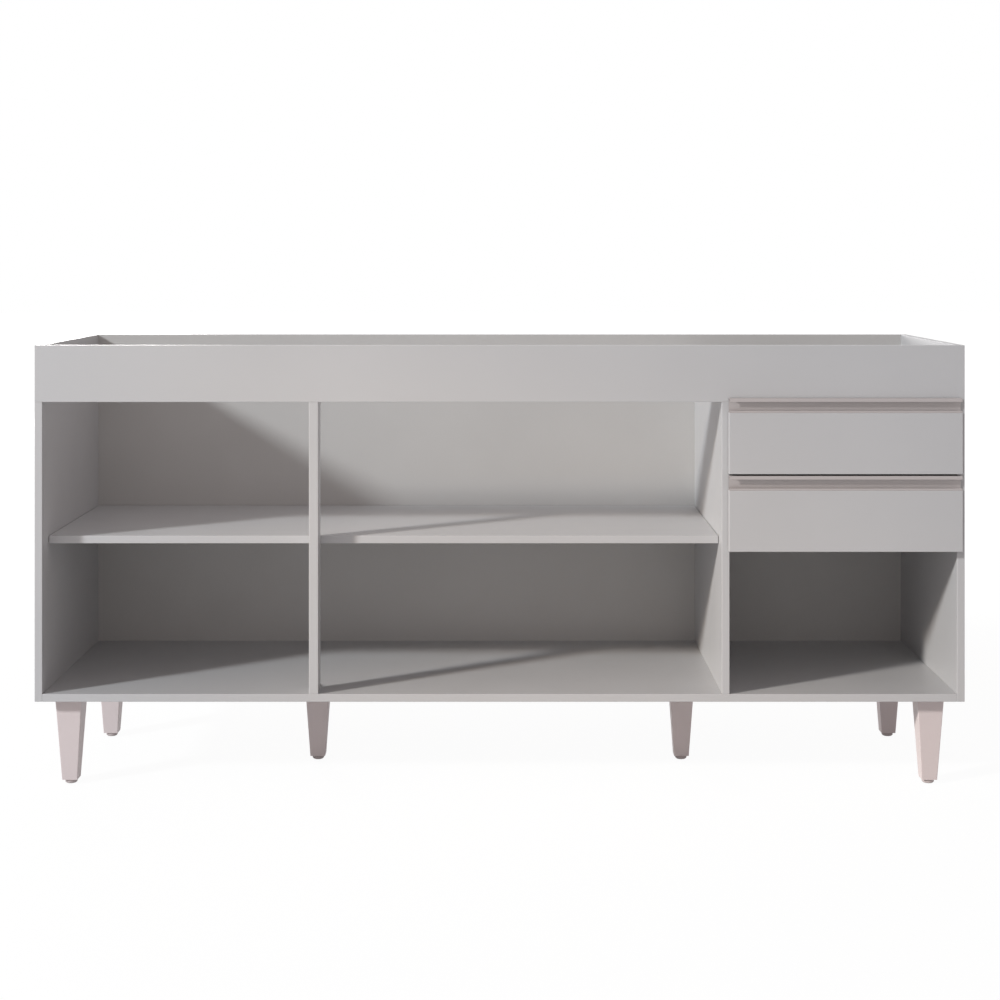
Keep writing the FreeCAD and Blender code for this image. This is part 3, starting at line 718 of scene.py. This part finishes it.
@dataclass(frozen=True)
class CrossRecess:
    """A cross-shaped driver recess with walls that draw in towards its floor."""

    blade: float
    reach: float
    depth: float
    floor_scale: float = 0.72

    def outline(self, scale: float = 1.0) -> list[tuple[float, float]]:
        """Walk round the cross.

        Args:
            scale: Size against the mouth of the recess.

        Returns:
            Its twelve corners.
        """
        half = self.blade / 2 * scale
        far = self.reach * scale
        arm = [(far, -half), (far, half), (half, half)]
        corners = []
        for quarter in range(4):
            turn = Matrix.Rotation(quarter * math.pi / 2, 2)
            corners += [tuple(turn @ Vector(corner)) for corner in arm]
        return corners


class TurnedMesh:
    """A closed mesh of rings about Z, whose flat ends may carry a cross recess."""

    SMOOTH_LIMIT = math.radians(32)

    def __init__(self, segments: int) -> None:
        """Start an empty mesh.

        Args:
            segments: Corners of each ring.
        """
        self.mesh = bmesh.new()
        self.segments = segments

    def loop(self, corners: list[tuple[float, float]], height: float) -> Ring:
        """Add a closed row of corners at a height."""
        return [self.mesh.verts.new((x, y, height)) for x, y in corners]

    def ring(self, radius: float, height: float) -> Ring:
        """Add a round row of corners.

        Args:
            radius: Its radius about Z.
            height: Its height.

        Returns:
            The corners.
        """
        turns = [2 * math.pi / self.segments * number for number in range(self.segments)]
        corners = [(radius * math.cos(turn), radius * math.sin(turn)) for turn in turns]
        return self.loop(corners, height)

    def wall(self, first: Ring, second: Ring) -> None:
        """Join two rows by a band of faces.

        Args:
            first: One row.
            second: The other, with as many corners.
        """
        for number in range(len(first)):
            self.mesh.faces.new((first[number - 1], first[number],
                                 second[number], second[number - 1]))

    def rings(self, profile: list[tuple[float, float]]) -> list[Ring]:
        """Turn a profile and join its rings.

        Args:
            profile: Radius and height of each ring.

        Returns:
            The rings.
        """
        rows = [self.ring(radius, height) for radius, height in profile]
        for first, second in zip(rows, rows[1:]):
            self.wall(first, second)
        return rows

    def point(self, row: Ring, height: float) -> None:
        """Close a row to a point on the axis.

        Args:
            row: The row.
            height: Height of the point.
        """
        tip = self.mesh.verts.new((0, 0, height))
        for number in range(len(row)):
            self.mesh.faces.new((row[number - 1], row[number], tip))

    def fill(self, *rows: Ring) -> None:
        """Fill a flat area.

        Args:
            rows: The row around it, and the row of a hole in it if it has one.
        """
        edges = []
        for row in rows:
            for pair in zip(row, row[1:] + row[:1]):
                edges.append(self.mesh.edges.get(pair) or self.mesh.edges.new(pair))
        bmesh.ops.triangle_fill(self.mesh, use_beauty=True, edges=edges)

    def recess(self, rim: Ring, height: float, inward: float, cross: CrossRecess) -> None:
        """Close a ring with a flat end that carries a cross recess.

        Args:
            rim: The ring.
            height: Height of the flat end.
            inward: Direction of the recess along Z, 1 or -1.
            cross: Shape of the recess.
        """
        mouth = self.loop(cross.outline(), height)
        floor = self.loop(cross.outline(cross.floor_scale), height + inward * cross.depth)
        self.wall(mouth, floor)
        self.fill(floor)
        self.fill(rim, mouth)

    def finish(self, name: str) -> bpy.types.Mesh:
        """Hand the mesh over with outward faces and crisp edges.

        Args:
            name: Name of the mesh.

        Returns:
            The mesh.
        """
        bmesh.ops.recalc_face_normals(self.mesh, faces=self.mesh.faces)
        for edge in self.mesh.edges:
            edge.smooth = edge.calc_face_angle(math.pi) < self.SMOOTH_LIMIT
        for face in self.mesh.faces:
            face.smooth = True
        made = bpy.data.meshes.new(name)
        self.mesh.to_mesh(made)
        self.mesh.free()
        return made


@dataclass(frozen=True)
class FastenerSet:
    """Fasteners that stand in one piece for the plain ones of a CAD node."""

    ENDING: ClassVar[str] = ""

    node: str
    body: str

    def fastener(self, solid: RoundSolid) -> bpy.types.Mesh:
        """Build one fastener along Z, from its thick end."""
        raise NotImplementedError

    def build(self) -> bpy.types.Object:
        """Put a fastener in place of each plain one.

        Returns:
            The piece that stands for the node.
        """
        joined = bmesh.new()
        for solid in loose_solids(self.node):
            mesh = self.fastener(solid)
            mesh.transform(solid.place)
            joined.from_mesh(mesh)
            bpy.data.meshes.remove(mesh)
        name = self.node + self.ENDING
        made = bpy.data.meshes.new(name)
        joined.to_mesh(made)
        joined.free()
        piece = bpy.data.objects.new(name, made)
        bpy.context.scene.collection.objects.link(piece)
        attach(piece, self.body)
        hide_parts(self.node)
        return piece


@dataclass(frozen=True)
class ScrewSet(FastenerSet):
    """Pan-head wood screws with a cross recess and a rolled thread."""

    ENDING: ClassVar[str] = "_cross_head"

    segments: int = 28
    head: float = 0.0016
    crown: float = 0.0024
    shoulder: float = 0.0007
    # The ring between crown and shoulder, as shares of the head's radius and of the shoulder.
    brow_radius: float = 0.92
    brow_height: float = 0.35
    core: float = 0.0012
    crest: float = 0.00172
    pitch: float = 0.0018
    tip: float = 0.003
    drive: CrossRecess = CrossRecess(blade=0.00075, reach=0.0017, depth=0.0009)

    def fastener(self, solid: RoundSolid) -> bpy.types.Mesh:
        """Build one screw along Z, from the top of its head to its tip.

        Args:
            solid: The measured solid that it stands for.

        Returns:
            The screw's mesh.
        """
        turned = TurnedMesh(self.segments)
        profile = [
            (self.crown, 0.0),
            (solid.radius * self.brow_radius, self.shoulder * self.brow_height),
            (solid.radius, self.shoulder),
            (solid.radius, self.head),
            (self.core, self.head),
        ]
        end = solid.length - self.tip
        height = self.head + self.pitch / 2
        while height + self.pitch < end:
            profile += [(self.core, height), (self.crest, height + self.pitch / 2)]
            height += self.pitch
        profile.append((self.core, end))
        rows = turned.rings(profile)
        turned.recess(rows[0], 0.0, 1.0, self.drive)
        turned.point(rows[-1], solid.length)
        return turned.finish("screw")


@dataclass(frozen=True)
class CamSet(FastenerSet):
    """Die-cast cam discs with a rimmed face and a cross slot, and the bolts that they draw."""

    ENDING: ClassVar[str] = "_cross_slot"

    # A solid with a larger radius is a disc, a smaller one is a bolt.
    disc_radius: float = 0.006
    disc_segments: int = 48
    rim: float = 0.0009
    dish: float = 0.0005
    bevel: float = 0.0004
    drive: CrossRecess = CrossRecess(blade=0.0016, reach=0.0040, depth=0.0028)
    bolt_segments: int = 28
    collar: float = 0.0024
    collar_slope: float = 0.0008
    neck_share: float = 0.8

    def fastener(self, solid: RoundSolid) -> bpy.types.Mesh:
        """Build a disc or a bolt."""
        return self.disc(solid) if solid.radius > self.disc_radius else self.bolt(solid)

    @staticmethod
    def both_ends(half: list[tuple[float, float]], length: float) -> list[tuple[float, float]]:
        """Add the mirror image of the first half of a profile."""
        return half + [(radius, length - height) for radius, height in reversed(half)]

    def disc(self, solid: RoundSolid) -> bpy.types.Mesh:
        """Build a disc, alike at both ends.

        Args:
            solid: The measured solid that it stands for.

        Returns:
            The disc's mesh.
        """
        turned = TurnedMesh(self.disc_segments)
        radius = solid.radius
        half = [
            (radius - self.rim - self.dish, self.dish),
            (radius - self.rim, 0.0),
            (radius - self.bevel, 0.0),
            (radius, self.bevel),
        ]
        rows = turned.rings(self.both_ends(half, solid.length))
        turned.recess(rows[0], self.dish, 1.0, self.drive)
        turned.recess(rows[-1], solid.length - self.dish, -1.0, self.drive)
        return turned.finish("cam_disc")

    def bolt(self, solid: RoundSolid) -> bpy.types.Mesh:
        """Build a bolt with a collar at each end.

        Args:
            solid: The measured solid that it stands for.

        Returns:
            The bolt's mesh.
        """
        turned = TurnedMesh(self.bolt_segments)
        radius = solid.radius
        half = [
            (radius - self.bevel, 0.0),
            (radius, self.bevel),
            (radius, self.collar),
            (radius * self.neck_share, self.collar + self.collar_slope),
        ]
        rows = turned.rings(self.both_ends(half, solid.length))
        turned.fill(rows[0])
        turned.fill(rows[-1])
        return turned.finish("cam_bolt")


class Assembly:
    """A group of pieces that are built and dressed together."""

    def build(self) -> list[bpy.types.Object]:
        """Build the fasteners that the solids show only plainly."""
        return []

    def finishes(self) -> dict[str, Slot]:
        """Name the slot of each CAD node of the group."""
        return {}

    def crosswise(self) -> set[str]:
        """Name the drawer boards whose grain runs across the cabinet."""
        return set()

    def dress(self, palette: Palette) -> dict[str, Slot]:
        """Build and dress every piece of the group.

        Args:
            palette: The finishes.

        Returns:
            The slot of each piece by its name.
        """
        dressed = {}
        for piece in self.build():
            palette.dress(piece, Slot.FITTING)
            dressed[piece.name] = Slot.FITTING
        across = self.crosswise()
        for node, slot in self.finishes().items():
            palette.dress(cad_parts[node], slot, node in across)
            dressed[node] = slot
        return dressed


@dataclass
class Carcass(Assembly):
    """The boards, their back sheet and the fittings that hold them."""

    boards: tuple[str, ...] = ("side_panel_left", "side_panel_right", "bottom_panel", "shelf",
                               "divider_panel", "front_post", "front_apron", "rear_top_rail")
    fittings: tuple[str, ...] = ("shelf_pins", "leg_bolts", "corner_brackets")
    screws: ScrewSet = ScrewSet("wood_screws", "cabinet")
    cams: CamSet = CamSet("cam_fittings", "cabinet")

    def build(self) -> list[bpy.types.Object]:
        """Build the screws and the cam fittings."""
        return [self.screws.build(), self.cams.build()]

    def finishes(self) -> dict[str, Slot]:
        """Name the slot of each board and fitting.

        Returns:
            The slots by node.
        """
        named = {node: Slot.BOARD for node in self.boards}
        named |= {node: Slot.FITTING for node in self.fittings}
        return named | {"back_panel": Slot.BACK, "dowels": Slot.DOWEL}


@dataclass
class LegSet(Assembly):
    """The tapered legs with their levelling feet."""

    rows: tuple[LegRow, ...] = tuple(LegRow)

    def finishes(self) -> dict[str, Slot]:
        """Name the slot of each leg and foot.

        Returns:
            The slots by node.
        """
        named = {}
        for row in self.rows:
            for side in Side:
                named[f"leg_{row.value}_{side.value}"] = Slot.LEG
                named[f"foot_{row.value}_{side.value}"] = Slot.FOOT
        return named


@dataclass
class RollerDrawer(Assembly):
    """A drawer with its pull, its box, its roller slides and its screws."""

    level: Level
    across: tuple[str, ...] = ("inner_front", "back")
    along: tuple[str, ...] = ("side_left", "side_right")

    @property
    def body(self) -> str:
        """Name of the drawer's body, which its nodes' names start with."""
        return f"{self.level.value}_drawer"

    def build(self) -> list[bpy.types.Object]:
        """Build the screws."""
        return [ScrewSet(f"{self.body}_screws", self.body).build()]

    def crosswise(self) -> set[str]:
        """Name the boards that run across the cabinet."""
        return {f"{self.body}_{name}" for name in self.across}

    def finishes(self) -> dict[str, Slot]:
        """Name the slot of each board, pull, rail and roller.

        Returns:
            The slots by node.
        """
        named = {f"{self.body}_{name}": Slot.DRAWER_BOARD for name in self.across + self.along}
        named |= {f"{self.body}_front": Slot.BOARD, f"{self.body}_handle": Slot.PULL,
                  f"{self.body}_bottom": Slot.DRAWER_SHEET}
        for side in Side:
            for owner in Owner:
                half = f"{self.level.value}_{owner.value}"
                named[f"{half}_rail_{side.value}"] = Slot.SLIDE
                named[f"{half}_roller_{side.value}"] = Slot.ROLLER
        return named


@dataclass(frozen=True)
class Lamp:
    """A round soft lamp that shines on the cabinet from afar, over all of it or within a cone."""

    name: str
    aim: Place
    travel: Place
    distance: float
    size: float
    power: float
    colour: Colour
    cone: float | None = None
    rim_blend: float = 1.0

    def light(self) -> bpy.types.Light:
        """Make the light itself.

        Returns:
            A disc that shines all round, or a spot with a soft rim.
        """
        if self.cone is None:
            data = bpy.data.lights.new(self.name, "AREA")
            data.shape = "DISK"
            data.size = self.size
            return data
        data = bpy.data.lights.new(self.name, "SPOT")
        data.shadow_soft_size = self.size / 2
        data.spot_size = math.radians(self.cone)
        data.spot_blend = self.rim_blend
        return data

    def hang(self) -> None:
        """Hang the lamp so that it shines on its aim."""
        travel = Vector(self.travel).normalized()
        data = self.light()
        data.energy = self.power
        data.color = self.colour
        lamp = bpy.data.objects.new(self.name, data)
        lamp.location = Vector(self.aim) - travel * self.distance
        lamp.rotation_mode = "QUATERNION"
        lamp.rotation_quaternion = travel.to_track_quat("-Z", "Y")
        lamp.visible_camera = False
        bpy.context.scene.collection.objects.link(lamp)


@dataclass
class Studio:
    """The camera, a pale floor, white surroundings, and three lamps.

    The key lamp stands at the front left, the warm lamp makes a pool of light in the middle, and
    the rear lamp gives the back and the legs a little light.
    """

    FROM_FRONT_LEFT: ClassVar[Place] = (0.84, 0.54, -0.47)
    FROM_BEHIND: ClassVar[Place] = (0.35, -0.93, -0.15)

    eye: Place = (0.0, -3.697, 1.0267)
    lens: float = 64.305
    sensor: float = 36.0
    shift: tuple[float, float] = (0.0004, -0.2409)
    key: Lamp = Lamp("key_lamp", aim=(0.0, -0.25, 0.50), travel=FROM_FRONT_LEFT, distance=13.0,
                     size=1.2, power=1251.0, colour=(0.940, 0.981, 1.0))
    warm: Lamp = Lamp("warm_lamp", aim=(0.15, -0.25, 0.28), travel=FROM_FRONT_LEFT, distance=6.0,
                      size=0.5, power=416.0, colour=(1.0, 0.727, 0.459), cone=14.0)
    rear: Lamp = Lamp("rear_lamp", aim=(0.0, -0.25, 0.50), travel=FROM_BEHIND, distance=9.0,
                      size=2.5, power=240.0, colour=(1.0, 0.98, 0.96))
    fill: float = 0.432
    fill_colour: Colour = (1.0, 0.902, 0.887)
    floor_half: float = 30.0
    floor_drop: float = 0.0004
    floor_glow: float = 0.95
    floor_shadow: Colour = (0.06, 0.06, 0.06)
    floor_bounce: Colour = (0.65, 0.65, 0.65)
    # From the first to the second distance from the origin, the floor's glow rises to full white.
    glow_rise: Span = (1.4, 4.0)

    def camera(self) -> None:
        """Set a level camera whose shift frames the object as the photograph does."""
        data = bpy.data.cameras.new("photo_camera")
        data.lens = self.lens
        data.sensor_width = self.sensor
        data.shift_x, data.shift_y = self.shift
        camera = bpy.data.objects.new("photo_camera", data)
        camera.location = self.eye
        camera.rotation_euler = (math.pi / 2, 0.0, 0.0)
        bpy.context.scene.collection.objects.link(camera)
        bpy.context.scene.camera = camera

    def world(self) -> None:
        """Make the surroundings white to look at, and softly lit for the object."""
        world = bpy.data.worlds.new("studio")
        world.use_nodes = True
        world.node_tree.nodes.clear()
        maker = NodeMaker(world.node_tree)
        lighting = maker.add("Background", {"Color": shade(self.fill_colour),
                                            "Strength": self.fill})
        looked_at = maker.add("Background", {"Color": shade(WHITE), "Strength": 1.0})
        maker.backdrop(lighting.outputs[0], looked_at.outputs[0], "OutputWorld")
        bpy.context.scene.world = world

    def floor_material(self) -> bpy.types.Material:
        """Make a floor that looks white, keeps a faint shadow and throws light back.

        Returns:
            The material.
        """
        material = bpy.data.materials.new("pale_floor")
        material.use_nodes = True
        material.node_tree.nodes.clear()
        maker = NodeMaker(material.node_tree)
        coords = maker.add("TexCoord").outputs["Object"]
        reach = maker.add("VectorMath", {0: coords}, operation="LENGTH").outputs["Value"]
        glow = maker.spread(reach, (self.floor_glow, 1.0), self.glow_rise)
        emission = maker.add("Emission", {"Color": shade(WHITE), "Strength": glow})
        shadow = maker.add("BsdfDiffuse", {"Color": shade(self.floor_shadow)})
        looked_at = maker.add("AddShader", {0: emission.outputs[0], 1: shadow.outputs[0]})
        bounce = maker.add("BsdfDiffuse", {"Color": shade(self.floor_bounce)})
        maker.backdrop(bounce.outputs[0], looked_at.outputs[0], "OutputMaterial")
        return material

    def floor(self) -> None:
        """Lay the floor just under the feet."""
        half, low = self.floor_half, -self.floor_drop
        corners = [(-half, -half, low), (half, -half, low), (half, half, low), (-half, half, low)]
        mesh = bpy.data.meshes.new("pale_floor")
        mesh.from_pydata(corners, [], [(0, 1, 2, 3)])
        mesh.materials.append(self.floor_material())
        floor = bpy.data.objects.new("pale_floor", mesh)
        bpy.context.scene.collection.objects.link(floor)

    def build(self) -> None:
        """Set up camera, lamps, world and floor."""
        bpy.context.scene.view_settings.view_transform = "Standard"
        self.camera()
        for lamp in (self.key, self.warm, self.rear):
            lamp.hang()
        self.world()
        self.floor()


def main() -> None:
    """Build and dress every assembly, then set up the studio."""
    logging.basicConfig(level=logging.INFO, format="%(message)s")
    palette = Palette()
    for assembly in (Carcass(), LegSet(), RollerDrawer(Level.UPPER), RollerDrawer(Level.LOWER)):
        for piece, slot in assembly.dress(palette).items():
            log.info("%s dressed as %s", piece, slot.value)
    Studio().build()
    log.info("studio built")


if __name__ == "__main__":
    main()
